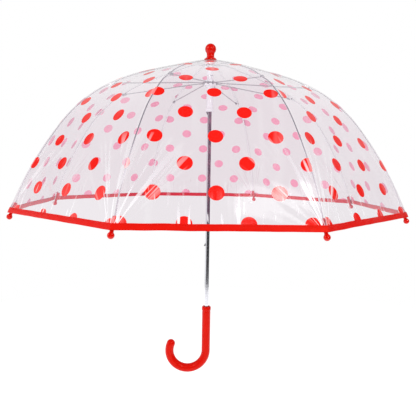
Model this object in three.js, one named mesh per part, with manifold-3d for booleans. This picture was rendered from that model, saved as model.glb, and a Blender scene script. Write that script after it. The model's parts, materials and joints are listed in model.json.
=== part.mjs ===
// Child's clear dome umbrella: eight hinged ribs under eight clear film gores, a sliding runner,
// a slotted steel shaft with two catches and a hooked handle.
// Millimetres, +Z up along the shaft, origin at the middle of the hand grip on the shaft axis.
import * as THREE from 'three';
import { mergeVertices } from 'three/addons/utils/BufferGeometryUtils.js';
import Module from 'manifold-3d';

const wasm = await Module();
wasm.setup();

// Driving dimensions
const RIB_COUNT = 8;
const SECTOR = 2 * Math.PI / RIB_COUNT;
const HALF_SECTOR = SECTOR / 2;
const FRONT = -Math.PI / 2; // the middle of the first gore faces -Y
const DOME_RADIUS = 355; // shaft axis to the end of a rib, at the film's outer face
const RIB_END_Z = 248;
const CROWN_FLAT_RADIUS = 12;
const CROWN_Z = 518; // top of the film where the finial clamps it
// Outer film line over a rib: radius and height over the rib's end, as shares of the dome radius
const DOME_LINE = [[0.15, 0.733], [0.3, 0.693], [0.45, 0.643], [0.6, 0.565], [0.72, 0.463],
  [0.82, 0.334], [0.9, 0.206], [0.955, 0.1], [1, 0]];
const FILM_THICKNESS = 0.25;
const FILM_STEPS = 16;
const HEM_WIDTH = 9;
const HEM_DROP = 4; // the hem band's middle hangs this far past the ribs' ends
const HEM_OUTWARD = 0.4; // the folded band stands out over the film and in under it
const HEM_INWARD = 1;

const SHAFT_RADIUS = 4;
const SHAFT_WALL = 0.8;
const SHAFT_BOTTOM_Z = -8;
const SHAFT_TOP_Z = 530;
const BORE_GAP = 0.3;
const SLIDING_GAP = 0.5;

// Catches: a flat spring inside the shaft whose wedge stands out through a slot.
// way is +1 where the ledge faces up and -1 where it faces down.
const CATCH_LENGTH = 14;
const CATCH_REACH = 6.6;
const CATCH_WIDTH = 2;
const TOP_CATCH = { ledgeZ: 422.1, way: 1 }; // just under the open runner
const BOTTOM_CATCH = { ledgeZ: 164.6, way: -1 };

const RIB_RADIUS = 1;
const RIB_HINGE = new THREE.Vector2(9, 508); // radius and height of the ribs' pivot wire
const RIB_JOINT = new THREE.Vector2(185.5, 460.2); // where the two rib lengths and the stretcher meet
const RIB_DEPTH = 2.6; // rib centre under the film's outer face
const RIB_END_DEPTH = 4.8; // the same at the hem, where the thicker tip fits over the rib
const RIVET_RADIUS = 0.7;
const EYE_RADIUS = 2.6; // flattened rib ends at the rivet
const PIVOT_EYE_RADIUS = 2.4; // rib and stretcher ends on the pivot wires
const PIVOT_EYE_HALF_WIDTH = 0.9;
const PIVOT_WIRE_RADIUS = 0.6;
const PIVOT_EYE_HOLE = 1.2;
const RIVET_HOLE = RIVET_RADIUS + 0.4;
const WIRE_SIDES = 6;

const STRETCHER_RADIUS = 0.85;
const STRETCHER_OFFSET = 2.9; // the stretcher passes beside its rib
const RUNNER_HINGE = new THREE.Vector2(9, 476.3);
const RUNNER_BOTTOM_Z = 422.6;
const RUNNER_TOP_Z = 489.3;
const NOTCH_BOTTOM_Z = 490.3;
const COLLAR_RADIUS = 5.9; // sleeves of the notch and of the runner's upper end
const TIP = { ballRadius: 4.7, ballCentre: 14, socketDepth: 11, socketRadius: 3, stemRadius: 2.6 };
const FINIAL = { flangeRadius: 11.8, neckRadius: 7, ballRadius: 10.4, ballCentre: 20.6 };

const HANDLE_RADIUS = 8.25;
const HANDLE_TOP_Z = 44;
const HOOK_RADIUS = 36;
const HOOK_CENTRE_Z = -45;
const HOOK_SWEEP = 1.127 * Math.PI;
const BEAD_RADIUS = 8.9; // raised ring round the handle's mouth
const BEAD_LENGTH = 9;

const MATERIALS = {
  film: { color: 0xeeeaf0, roughness: 0.15, metalness: 0, transparent: true, opacity: 0.35 },
  red: { color: 0xe01a10, roughness: 0.3, metalness: 0 },
  steel: { color: 0xc8cace, roughness: 0.2, metalness: 1 },
  wire: { color: 0x55585e, roughness: 0.4, metalness: 1 },
  white: { color: 0xe9e9ec, roughness: 0.35, metalness: 0 },
};

// A closed geometry as a solid that can be joined and cut
function solidOf(geometry) {
  const bare = geometry.clone();
  bare.deleteAttribute('normal');
  bare.deleteAttribute('uv');
  const merged = mergeVertices(bare, 1e-4);
  const source = merged.index.array;
  const kept = [];
  for (let i = 0; i < source.length; i += 3) {
    const [a, b, c] = [source[i], source[i + 1], source[i + 2]];
    if (a !== b && b !== c && c !== a) kept.push(a, b, c);
  }
  const vertProperties = new Float32Array(merged.attributes.position.array);
  return new wasm.Manifold(new wasm.Mesh({ numProp: 3, vertProperties, triVerts: new Uint32Array(kept) }));
}

function geometryOf(solid) {
  const { vertProperties, triVerts } = solid.getMesh();
  const geometry = new THREE.BufferGeometry();
  geometry.setAttribute('position', new THREE.BufferAttribute(vertProperties, 3));
  geometry.setIndex(new THREE.BufferAttribute(triVerts, 1));
  geometry.computeVertexNormals();
  return geometry;
}

function join(geometries) {
  return geometryOf(geometries.map(solidOf).reduce((sum, next) => sum.add(next)));
}

function cut(geometry, cutters) {
  return geometryOf(cutters.map(solidOf).reduce((rest, next) => rest.subtract(next), solidOf(geometry)));
}

// Round bar along a curve
function bar(curve, radius, sides, steps) {
  const points = [];
  for (let k = 0; k < sides; k++) {
    const angle = 2 * Math.PI * k / sides;
    points.push(new THREE.Vector2(radius * Math.cos(angle), radius * Math.sin(angle)));
  }
  const shape = new THREE.Shape(points);
  return new THREE.ExtrudeGeometry(shape, { steps, extrudePath: curve, bevelEnabled: false });
}

// Body of revolution about Z from [radius, height] points
function turned(outline, segments) {
  const points = outline.map(([radius, z]) => new THREE.Vector2(radius, z));
  return new THREE.LatheGeometry(points, segments).rotateX(Math.PI / 2);
}

function ring(inner, outer, bottom, top, segments) {
  return turned([[inner, bottom], [outer, bottom], [outer, top], [inner, top], [inner, bottom]], segments);
}

// Flat plate from an outline in the XZ plane, between two places along Y
function plate(shape, fromY, toY) {
  const settings = { depth: toY - fromY, bevelEnabled: false, curveSegments: 6 };
  const geometry = new THREE.ExtrudeGeometry(shape, settings);
  return geometry.rotateX(Math.PI / 2).translate(0, toY, 0);
}

// Eye with a hole and an arm that leaves it in one direction, in the XZ plane
function eye(centre, direction, outer, hole, arm, fromY, toY) {
  const halfArm = 0.8 * outer;
  const meet = Math.asin(halfArm / outer);
  const shape = new THREE.Shape();
  shape.moveTo(arm, -halfArm);
  shape.lineTo(arm, halfArm);
  shape.absarc(0, 0, outer, meet, 2 * Math.PI - meet, false);
  shape.closePath();
  if (hole > 0) {
    const bore = new THREE.Path();
    bore.absarc(0, 0, hole, 0, 2 * Math.PI, true);
    shape.holes.push(bore);
  }
  const geometry = plate(shape, fromY, toY);
  geometry.rotateY(-direction.angle());
  return geometry.translate(centre.x, 0, centre.y);
}

// Solid from a row of matching closed sections
function loft(sections) {
  const count = sections[0].length;
  const positions = sections.flat().flatMap((point) => point.toArray());
  const index = [];
  for (let i = 0; i + 1 < sections.length; i++) {
    for (let k = 0; k < count; k++) {
      const a = i * count + k;
      const b = i * count + (k + 1) % count;
      index.push(a, b, b + count, a, b + count, a + count);
    }
  }
  const last = (sections.length - 1) * count;
  for (let k = 1; k + 1 < count; k++) {
    index.push(0, k + 1, k);
    index.push(last, last + k, last + k + 1);
  }
  const geometry = new THREE.BufferGeometry();
  geometry.setAttribute('position', new THREE.Float32BufferAttribute(positions, 3));
  geometry.setIndex(index);
  geometry.computeVertexNormals();
  return geometry;
}

// Film line over a rib, from the crown to the rib's end
function domeCurve() {
  const points = [new THREE.Vector2(CROWN_FLAT_RADIUS, CROWN_Z)];
  for (const [radius, height] of DOME_LINE) {
    points.push(new THREE.Vector2(radius * DOME_RADIUS, RIB_END_Z + height * DOME_RADIUS));
  }
  return new THREE.SplineCurve(points);
}

const DOME = domeCurve();

// Point under the film line at a share of its length, at a depth below the outer face
function underDome(share, depth) {
  const point = DOME.getPointAt(share);
  const tangent = DOME.getTangentAt(share);
  return new THREE.Vector2(point.x + depth * tangent.y, point.y - depth * tangent.x);
}

// Share of the dome line's length at a radius
function shareAt(radius) {
  let low = 0;
  let high = 1;
  for (let i = 0; i < 40; i++) {
    const middle = (low + high) / 2;
    if (DOME.getPointAt(middle).x < radius) low = middle;
    else high = middle;
  }
  return low;
}

const JOINT_SHARE = shareAt(RIB_JOINT.x);
const inPlane = (point, y = 0) => new THREE.Vector3(point.x, y, point.y);
const towards = (from, to) => to.clone().sub(from).normalize();
const beyond = (from, direction, distance) => from.clone().addScaledVector(direction, distance);

function ribUpper() {
  const stations = [0.12, 0.3, 0.5, 0.7, 0.88].map((share) => underDome(share * JOINT_SHARE, RIB_DEPTH));
  const startWay = towards(RIB_HINGE, stations[0]);
  const endWay = towards(RIB_JOINT, stations[stations.length - 1]);
  const path = [beyond(RIB_HINGE, startWay, 2.4), ...stations, beyond(RIB_JOINT, endWay, 4)];
  const curve = new THREE.CatmullRomCurve3(path.map((point) => inPlane(point)));
  const wire = bar(curve, RIB_RADIUS, WIRE_SIDES, 8);
  const half = PIVOT_EYE_HALF_WIDTH;
  const hingeEye = eye(RIB_HINGE, startWay, PIVOT_EYE_RADIUS, PIVOT_EYE_HOLE, 5, -half, half);
  const jointEye = eye(RIB_JOINT, endWay, EYE_RADIUS, 0, 7, -1.4, -0.2);
  const rivet = new THREE.CylinderGeometry(RIVET_RADIUS, RIVET_RADIUS, 2.4, WIRE_SIDES);
  rivet.translate(RIB_JOINT.x, 0.3, RIB_JOINT.y);
  return join([wire, hingeEye, jointEye, rivet]);
}

// The straight end of a rib, where its tip is pushed on
function tipAxis() {
  const end = underDome(1, RIB_END_DEPTH);
  return { end, way: towards(underDome(0.97, RIB_END_DEPTH), end) };
}

function ribLower() {
  const share = (part) => JOINT_SHARE + (1 - JOINT_SHARE) * part;
  const stations = [0.12, 0.32, 0.52, 0.72, 0.86].map((part) => underDome(share(part), RIB_DEPTH));
  const { end, way: tipWay } = tipAxis();
  stations.push(beyond(end, tipWay, -14), beyond(end, tipWay, -7), end);
  const way = towards(RIB_JOINT, stations[0]);
  const path = [beyond(RIB_JOINT, way, 4), ...stations];
  const curve = new THREE.CatmullRomCurve3(path.map((point) => inPlane(point)));
  const wire = bar(curve, RIB_RADIUS, WIRE_SIDES, 11);
  const jointEye = eye(RIB_JOINT, way, EYE_RADIUS, RIVET_HOLE, 7, 0.2, 1.4);
  return join([wire, jointEye]);
}

function stretcher() {
  const way = towards(RUNNER_HINGE, RIB_JOINT);
  const back = way.clone().negate();
  const bend = [[2.4, 0], [7, 0], [16, 0.5 * STRETCHER_OFFSET], [25, STRETCHER_OFFSET]];
  const path = bend.map(([distance, y]) => inPlane(beyond(RUNNER_HINGE, way, distance), y));
  path.push(inPlane(beyond(RIB_JOINT, back, 80), STRETCHER_OFFSET));
  path.push(inPlane(beyond(RIB_JOINT, back, 3), STRETCHER_OFFSET));
  const wire = bar(new THREE.CatmullRomCurve3(path), STRETCHER_RADIUS, WIRE_SIDES, 7);
  const half = PIVOT_EYE_HALF_WIDTH;
  const inner = eye(RUNNER_HINGE, way, PIVOT_EYE_RADIUS, PIVOT_EYE_HOLE, 5, -half, half);
  const sideY = STRETCHER_OFFSET - STRETCHER_RADIUS;
  const outer = eye(RIB_JOINT, back, PIVOT_EYE_RADIUS, RIVET_HOLE, 6, sideY, sideY + 1.2);
  return join([wire, inner, outer]);
}

// Ball-ended tip with a blind bore over the rib's end
function ribTip() {
  const bore = RIB_RADIUS + 0.5;
  const boreEnd = 2;
  const outline = new THREE.Path();
  outline.moveTo(0, boreEnd);
  outline.lineTo(bore, boreEnd);
  outline.lineTo(bore, -TIP.socketDepth);
  outline.lineTo(TIP.socketRadius - 0.3, -TIP.socketDepth);
  outline.lineTo(TIP.socketRadius, -TIP.socketDepth + 1.5);
  outline.lineTo(TIP.stemRadius, TIP.ballCentre - 6);
  outline.absarc(0, TIP.ballCentre, TIP.ballRadius, -0.3 * Math.PI, 0.5 * Math.PI, false);
  const points = outline.getPoints(4);
  points[points.length - 1].x = 0;
  const { end, way } = tipAxis();
  const geometry = new THREE.LatheGeometry(points, 8);
  geometry.rotateZ(way.angle() - Math.PI / 2);
  geometry.rotateX(Math.PI / 2);
  return geometry.translate(end.x, 0, end.y);
}

// Level of a gore: the middle of its straight chord between two ribs
function chordLevel(point) {
  return new THREE.Vector2(point.x * Math.cos(HALF_SECTOR), point.y);
}

function goreSection(middle, normal, halfWidth, outward, inward) {
  const outer = beyond(middle, normal, outward);
  const inner = beyond(middle, normal, -inward);
  return [
    new THREE.Vector3(outer.x, halfWidth, outer.y),
    new THREE.Vector3(outer.x, -halfWidth, outer.y),
    new THREE.Vector3(inner.x, -halfWidth, inner.y),
    new THREE.Vector3(inner.x, halfWidth, inner.y),
  ];
}

function normalAt(share) {
  const tangent = DOME.getTangentAt(share);
  return new THREE.Vector2(-tangent.y, tangent.x * Math.cos(HALF_SECTOR)).normalize();
}

function canopyPanel() {
  const sideGap = 0.5;
  const filmEnd = 1 - (HEM_WIDTH / 2 + BORE_GAP - HEM_DROP) / DOME.getLength();
  const shares = [];
  for (let i = 0; i <= FILM_STEPS; i++) shares.push(filmEnd * i / FILM_STEPS);
  const sections = shares.map((share) => {
    const rim = DOME.getPointAt(share);
    const halfWidth = rim.x * Math.sin(HALF_SECTOR) - sideGap;
    return goreSection(chordLevel(rim), normalAt(share), halfWidth, 0, FILM_THICKNESS);
  });
  const centreRadius = 5.6;
  const centre = chordLevel(new THREE.Vector2(centreRadius, CROWN_Z));
  const centreWidth = centreRadius * Math.sin(HALF_SECTOR) - sideGap;
  sections.unshift(goreSection(centre, new THREE.Vector2(0, 1), centreWidth, 0, FILM_THICKNESS));
  return loft(sections);
}

function hemBinding() {
  const sideGap = 2.6;
  const rim = DOME.getPointAt(1);
  const tangent = DOME.getTangentAt(1);
  const sections = [-HEM_WIDTH / 2, HEM_WIDTH / 2].map((along) => {
    const level = beyond(rim, tangent, HEM_DROP + along);
    const halfWidth = level.x * Math.sin(HALF_SECTOR) - sideGap;
    return goreSection(chordLevel(level), normalAt(1), halfWidth, HEM_OUTWARD, HEM_INWARD);
  });
  return loft(sections);
}

// Cutters for the slots that the hinged ends swing in
function hingeSlots(width, bottom, top) {
  const innerEnd = 6;
  const length = 14;
  const slots = [];
  for (let i = 0; i < RIB_COUNT; i++) {
    const slot = new THREE.BoxGeometry(length, width, top - bottom);
    slot.translate(innerEnd + length / 2, 0, (bottom + top) / 2);
    slots.push(slot.rotateZ(FRONT + HALF_SECTOR + i * SECTOR));
  }
  return slots;
}

// Groove round a disc that its pivot wire lies in
function wireGroove(hinge) {
  const half = PIVOT_WIRE_RADIUS + BORE_GAP;
  const pastRim = 16;
  return ring(hinge.x - half, pastRim, hinge.y - half, hinge.y + half, 24);
}

function pivotWire(hinge) {
  return new THREE.TorusGeometry(hinge.x, PIVOT_WIRE_RADIUS, 5, 20).translate(0, 0, hinge.y);
}

function topNotch() {
  const bore = SHAFT_RADIUS + BORE_GAP;
  const disc = 12.6;
  const [z, bottom] = [RIB_HINGE.y, NOTCH_BOTTOM_Z];
  const [under, top] = [z - 5, z + 7.4];
  const body = turned([[bore, bottom], [COLLAR_RADIUS, bottom], [COLLAR_RADIUS, under - 1], [7.2, under],
    [disc - 0.6, under], [disc, under + 1], [disc, z + 5], [disc - 1.6, top], [bore, top],
    [bore, bottom]], 24);
  return cut(body, [...hingeSlots(3.2, z - 12, z + 3), wireGroove(RIB_HINGE)]);
}

function runner() {
  const bore = SHAFT_RADIUS + SLIDING_GAP;
  const [hub, barrel, flare] = [12, 6.5, 8];
  const [z, bottom] = [RUNNER_HINGE.y, RUNNER_BOTTOM_Z];
  const [under, over] = [z - 5, z + 4.6];
  const body = turned([[bore, bottom], [flare - 0.6, bottom], [flare, bottom + 1], [flare, bottom + 5],
    [barrel, bottom + 8], [barrel, z - 12], [barrel + 0.7, under], [hub - 0.6, under], [hub, under + 1],
    [hub, over - 0.6], [hub - 0.6, over], [COLLAR_RADIUS, over], [COLLAR_RADIUS, RUNNER_TOP_Z],
    [bore, RUNNER_TOP_Z], [bore, bottom]], 24);
  return cut(body, [...hingeSlots(2.8, z - 3, z + 6), wireGroove(RUNNER_HINGE)]);
}

function canopyWasher() {
  const [radius, thickness, gap] = [12, 1.2, 0.4];
  const top = CROWN_Z - FILM_THICKNESS - gap;
  return ring(SHAFT_RADIUS + BORE_GAP, radius, top - thickness, top, 24);
}

function finial() {
  const base = CROWN_Z + BORE_GAP;
  const bore = SHAFT_RADIUS + BORE_GAP;
  const boreEnd = SHAFT_TOP_Z + 1;
  const edge = 1.6; // rounded edge of the flange
  const edgeCentre = FINIAL.flangeRadius - edge;
  const outline = new THREE.Path();
  outline.moveTo(0, boreEnd);
  outline.lineTo(bore, boreEnd);
  outline.lineTo(bore, base);
  outline.lineTo(edgeCentre + 1, base);
  outline.absarc(edgeCentre, base + edge, edge, -0.2 * Math.PI, 0.4 * Math.PI, false);
  outline.lineTo(FINIAL.neckRadius + 0.2, base + 5.4);
  outline.lineTo(FINIAL.neckRadius, base + 10.5);
  outline.absarc(0, base + FINIAL.ballCentre, FINIAL.ballRadius, -0.22 * Math.PI, 0.5 * Math.PI, false);
  const points = outline.getPoints(4);
  points[points.length - 1].x = 0;
  return new THREE.LatheGeometry(points, 20).rotateX(Math.PI / 2);
}

function shaft() {
  const tube = ring(SHAFT_RADIUS - SHAFT_WALL, SHAFT_RADIUS, SHAFT_BOTTOM_Z, SHAFT_TOP_Z, 16);
  const slots = [TOP_CATCH, BOTTOM_CATCH].map(({ ledgeZ, way }) => {
    const slot = new THREE.BoxGeometry(SHAFT_RADIUS, CATCH_WIDTH + 1, CATCH_LENGTH + 2);
    return slot.translate(-SHAFT_RADIUS, 0, ledgeZ - way * CATCH_LENGTH / 2);
  });
  return cut(tube, slots);
}

function catchSpring({ ledgeZ, way }) {
  const [inside, leaf] = [-2.4, -1]; // the spring leaf's two faces, inside the tube
  const rootZ = -CATCH_LENGTH - 4;
  const outline = [[-CATCH_REACH, 0], [-CATCH_REACH + 0.3, -1.2], [inside, -8], [inside, rootZ],
    [leaf, rootZ], [leaf, 2], [inside - 0.4, 2], [inside - 0.4, 0]];
  const points = outline.map(([x, z]) => new THREE.Vector2(x, ledgeZ + way * z));
  if (way > 0) points.reverse();
  return plate(new THREE.Shape(points), -CATCH_WIDTH / 2, CATCH_WIDTH / 2);
}

class HookCurve extends THREE.Curve {
  getPoint(t, target = new THREE.Vector3()) {
    const straight = HANDLE_TOP_Z - HOOK_CENTRE_Z;
    const distance = t * (straight + HOOK_RADIUS * HOOK_SWEEP);
    if (distance < straight) return target.set(0, 0, HANDLE_TOP_Z - distance);
    const angle = (distance - straight) / HOOK_RADIUS;
    const x = -HOOK_RADIUS + HOOK_RADIUS * Math.cos(angle);
    return target.set(x, 0, HOOK_CENTRE_Z - HOOK_RADIUS * Math.sin(angle));
  }
}

function handle() {
  const hook = bar(new HookCurve(), HANDLE_RADIUS, 12, 24);
  const end = new HookCurve().getPoint(1);
  const cap = new THREE.SphereGeometry(HANDLE_RADIUS, 12, 8).translate(end.x, end.y, end.z);
  const top = HANDLE_TOP_Z;
  const low = top - BEAD_LENGTH;
  const bead = turned([[0, low], [HANDLE_RADIUS + 0.05, low], [BEAD_RADIUS, low + 2], [BEAD_RADIUS, top - 2],
    [BEAD_RADIUS - 1.3, top + 0.4], [0, top + 0.4]], 20);
  const bore = ring(0, SHAFT_RADIUS + BORE_GAP, SHAFT_BOTTOM_Z - 1, top + 2, 16);
  return cut(join([hook, cap, bead]), [bore]);
}

const umbrella = new THREE.Group();

function add(parent, name, geometry, material) {
  const mesh = new THREE.Mesh(geometry, new THREE.MeshStandardMaterial(MATERIALS[material]));
  mesh.name = name;
  parent.add(mesh);
}

add(umbrella, 'handle', handle(), 'red');
add(umbrella, 'shaft', shaft(), 'steel');
add(umbrella, 'top_catch', catchSpring(TOP_CATCH), 'steel');
add(umbrella, 'bottom_catch', catchSpring(BOTTOM_CATCH), 'steel');
add(umbrella, 'runner', runner(), 'white');
add(umbrella, 'runner_wire', pivotWire(RUNNER_HINGE), 'wire');
add(umbrella, 'top_notch', topNotch(), 'white');
add(umbrella, 'notch_wire', pivotWire(RIB_HINGE), 'wire');
add(umbrella, 'canopy_washer', canopyWasher(), 'red');
add(umbrella, 'finial', finial(), 'red');

for (let i = 0; i < RIB_COUNT; i++) {
  const gore = new THREE.Group();
  gore.rotation.z = FRONT + i * SECTOR;
  add(gore, `canopy_panel_${i + 1}`, canopyPanel(), 'film');
  add(gore, `hem_binding_${i + 1}`, hemBinding(), 'red');
  const ribs = new THREE.Group();
  ribs.rotation.z = FRONT + HALF_SECTOR + i * SECTOR;
  add(ribs, `rib_upper_${i + 1}`, ribUpper(), 'wire');
  add(ribs, `rib_lower_${i + 1}`, ribLower(), 'wire');
  add(ribs, `rib_tip_${i + 1}`, ribTip(), 'red');
  add(ribs, `stretcher_${i + 1}`, stretcher(), 'wire');
  umbrella.add(gore, ribs);
}

export default umbrella;
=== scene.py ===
# A child's clear dome umbrella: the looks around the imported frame. Metres, +Z up the shaft.
import json
import math
import bmesh
import bpy
from mathutils import Matrix, Vector, noise


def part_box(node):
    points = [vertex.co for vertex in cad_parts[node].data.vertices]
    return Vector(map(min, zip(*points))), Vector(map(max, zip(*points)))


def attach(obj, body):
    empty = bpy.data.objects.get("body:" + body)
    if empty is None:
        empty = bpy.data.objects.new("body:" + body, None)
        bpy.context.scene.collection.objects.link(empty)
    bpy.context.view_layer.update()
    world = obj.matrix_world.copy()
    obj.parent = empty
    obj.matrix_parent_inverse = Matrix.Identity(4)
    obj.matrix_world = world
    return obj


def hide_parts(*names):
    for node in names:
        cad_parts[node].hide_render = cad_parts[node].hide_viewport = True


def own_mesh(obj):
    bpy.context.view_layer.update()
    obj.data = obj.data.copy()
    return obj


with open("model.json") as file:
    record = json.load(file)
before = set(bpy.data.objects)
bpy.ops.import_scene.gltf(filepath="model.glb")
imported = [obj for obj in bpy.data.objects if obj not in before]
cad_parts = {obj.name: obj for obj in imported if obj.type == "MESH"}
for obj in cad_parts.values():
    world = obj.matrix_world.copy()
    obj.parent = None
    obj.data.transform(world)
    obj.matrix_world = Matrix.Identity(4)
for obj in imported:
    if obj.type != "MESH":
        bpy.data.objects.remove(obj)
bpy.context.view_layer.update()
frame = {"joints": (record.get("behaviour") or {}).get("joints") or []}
scene = bpy.context.scene
mm = 0.001
ribCount = 8
sector = 2 * math.pi / ribCount
halfSector = sector / 2
frontAngle = -math.pi / 2  # gore 1 faces -Y


def report(stage):
    print("umbrella:", stage)


def addObject(name, data):
    thing = bpy.data.objects.new(name, data)
    scene.collection.objects.link(thing)
    return thing


def addMesh(name, verts, faces):
    mesh = bpy.data.meshes.new(name)
    mesh.from_pydata([tuple(v) for v in verts], [], faces)
    return addObject(name, mesh)


def shadeByAngle(mesh, degrees):
    bm = bmesh.new()
    bm.from_mesh(mesh)
    limit = math.radians(degrees)
    for face in bm.faces:
        face.smooth = True
    for edge in bm.edges:
        edge.smooth = len(edge.link_faces) != 2 or edge.calc_face_angle() < limit
    bm.to_mesh(mesh)
    bm.free()


def meshPiece(name, verts, faces, body, slot, material, node=None, smoothAngle=40):
    piece = addMesh(name, verts, faces)
    piece.data.validate()
    piece.data.materials.append(material)
    shadeByAngle(piece.data, smoothAngle)
    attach(piece, body)
    if node:
        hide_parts(node)
    return piece


def addUvMap(mesh, label, places):
    layer = mesh.uv_layers.new(name=label)
    for loop in mesh.loops:
        layer.data[loop.index].uv = places[loop.vertex_index]


def ringBody(frameAt, rings, sides, closed=False):
    # rings are (distance along the path, radius); frameAt gives centre and two cross directions.
    # A closed body's last ring joins its first, and any other body is capped at both ends.
    verts, faces = [], []
    for distance, radius in rings:
        centre, across, up = frameAt(distance)
        for k in range(sides):
            angle = 2 * math.pi * k / sides
            verts.append(centre + across * (radius * math.cos(angle)) + up * (radius * math.sin(angle)))
    count = len(rings)
    for i in range(count if closed else count - 1):
        here, after = i * sides, (i + 1) % count * sides
        for k in range(sides):
            beside = (k + 1) % sides
            faces.append((here + k, here + beside, after + beside, after + k))
    if not closed:
        faces.append(tuple(reversed(range(sides))))
        faces.append(tuple(range((count - 1) * sides, count * sides)))
    return verts, faces


def upright(distance):
    return Vector((0, 0, distance)), Vector((1, 0, 0)), Vector((0, 1, 0))


def arcRings(centre, radius, fromDegrees, toDegrees, steps):
    # rings round part of a ball or bead: distance and radius from an angle above the equator
    rings = []
    for i in range(steps + 1):
        angle = math.radians(fromDegrees + (toDegrees - fromDegrees) * i / steps)
        rings.append((centre[0] + radius * math.sin(angle), centre[1] + radius * math.cos(angle)))
    return rings


def scaled(rings, base=0.0):
    # rings written in mm from a base
    return [(base + z * mm, radius * mm) for z, radius in rings]


def pathFrame(points, side):
    # frames along a smooth line of points that stays near one plane; side is that plane's normal
    lengths = [0.0]
    for a, b in zip(points, points[1:]):
        lengths.append(lengths[-1] + (b - a).length)

    def at(distance):
        d = min(max(distance, 0.0), lengths[-1])
        i = 0
        while i < len(lengths) - 2 and lengths[i + 1] < d:
            i += 1
        span = max(lengths[i + 1] - lengths[i], 1e-9)
        t = (d - lengths[i]) / span
        before = points[max(i - 1, 0)]
        after = points[min(i + 2, len(points) - 1)]
        startWay = (points[i + 1] - before).normalized()
        endWay = (after - points[i]).normalized()
        way = startWay.lerp(endWay, t).normalized()
        centre = points[i].lerp(points[i + 1], t) + way * (distance - d)
        up = way.cross(side).normalized()
        return centre, up.cross(way).normalized(), up

    return at, lengths[-1]


def smoothLine(points, steps):
    # Catmull-Rom line through the points
    line = []
    for i in range(len(points) - 1):
        p0, p1 = points[max(i - 1, 0)], points[i]
        p2, p3 = points[i + 1], points[min(i + 2, len(points) - 1)]
        for k in range(steps):
            t = k / steps
            line.append(0.5 * ((2 * p1) + (p2 - p0) * t + (2 * p0 - 5 * p1 + 4 * p2 - p3) * t * t
                               + (3 * p1 - p0 - 3 * p2 + p3) * t ** 3))
    line.append(points[-1].copy())
    return line


def turnedBy(verts, angle):
    turn = Matrix.Rotation(angle, 3, "Z")
    return [turn @ Vector(v) for v in verts]


def thicken(bm, faces, depth):
    made = bmesh.ops.extrude_face_region(bm, geom=faces)
    moved = [v for v in made["geom"] if isinstance(v, bmesh.types.BMVert)]
    bmesh.ops.translate(bm, verts=moved, vec=(0, depth, 0))
    bmesh.ops.recalc_face_normals(bm, faces=list(bm.faces))


def takeMesh(bm):
    # the points and faces of a finished bmesh, which is then freed
    bm.verts.index_update()
    verts = [v.co.copy() for v in bm.verts]
    faces = [tuple(v.index for v in f.verts) for f in bm.faces]
    bm.free()
    return verts, faces


def cutAway(piece, cutters):
    # cuts each cutter's mesh out of the piece and leaves nothing of the cutters
    for verts, faces in cutters:
        tool = addMesh("cutter", verts, faces)
        modifier = piece.modifiers.new("cut", "BOOLEAN")
        modifier.operation = "DIFFERENCE"
        modifier.solver = "EXACT"
        modifier.object = tool
        bpy.context.view_layer.update()
        shown = piece.evaluated_get(bpy.context.evaluated_depsgraph_get())
        result = bpy.data.meshes.new_from_object(shown)
        piece.modifiers.clear()
        spent = (piece.data, tool.data)
        piece.data = result
        result.name = piece.name
        bpy.data.objects.remove(tool)
        for mesh in spent:
            bpy.data.meshes.remove(mesh)
    shadeByAngle(piece.data, 30)


def boxMesh(low, high):
    xs, ys, zs = zip(low, high)
    verts = [Vector((x, y, z)) for x in xs for y in ys for z in zs]
    faces = [(0, 1, 3, 2), (4, 6, 7, 5), (0, 4, 5, 1), (2, 3, 7, 6), (0, 2, 6, 4), (1, 5, 7, 3)]
    return verts, faces


def newMaterial(name):
    material = bpy.data.materials.new(name)
    material.use_nodes = True
    return material, material.node_tree, material.node_tree.nodes["Principled BSDF"]


def feed(tree, socket, value):
    # another node's output is linked, and a plain value is set on the socket itself
    if isinstance(value, bpy.types.NodeSocket):
        tree.links.new(value, socket)
    else:
        socket.default_value = value


def feedAll(tree, node, values):
    for name, value in values.items():
        feed(tree, node.inputs[name], value)


def put(tree, kind, **values):
    # a new shader node: keys are its own settings, or its inputs with _ for a space
    node = tree.nodes.new("ShaderNode" + kind)
    for key, value in values.items():
        if hasattr(node, key):
            setattr(node, key, value)
        else:
            feed(tree, node.inputs[key.replace("_", " ")], value)
    return node


def maths(tree, operation, a, b=0.0, c=0.0, clamp=False):
    node = put(tree, "Math", operation=operation, use_clamp=clamp)
    for socket, value in zip(node.inputs, (a, b, c)):
        feed(tree, socket, value)
    return node.outputs[0]


def vectorMaths(tree, operation, a, b=(0, 0, 0)):
    node = put(tree, "VectorMath", operation=operation)
    feed(tree, node.inputs[0], a)
    feed(tree, node.inputs[1], b)
    return node.outputs["Value" if operation in ("LENGTH", "DOT_PRODUCT") else "Vector"]


def ramp(tree, value, low, high, top=1.0):
    node = put(tree, "MapRange", interpolation_type="SMOOTHSTEP", Value=value, From_Min=low,
               From_Max=high, To_Max=top)
    return node.outputs["Result"]


def blendColour(tree, factor, a, b):
    node = put(tree, "Mix", data_type="RGBA", Factor=factor)
    for socket, value in ((node.inputs[6], a), (node.inputs[7], b)):
        feed(tree, socket, (*value, 1) if isinstance(value, tuple) else value)
    return node.outputs[2]


def newGroup(name, inputs, outputs):
    # an input with no number is a vector, and every output is a number
    group = bpy.data.node_groups.new(name, "ShaderNodeTree")
    for label, value in inputs.items():
        kind = "NodeSocketVector" if value is None else "NodeSocketFloat"
        socket = group.interface.new_socket(label, in_out="INPUT", socket_type=kind)
        if value is not None:
            socket.default_value = value
    for label in outputs:
        group.interface.new_socket(label, in_out="OUTPUT", socket_type="NodeSocketFloat")
    return group, group.nodes.new("NodeGroupInput").outputs, group.nodes.new("NodeGroupOutput")


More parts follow.
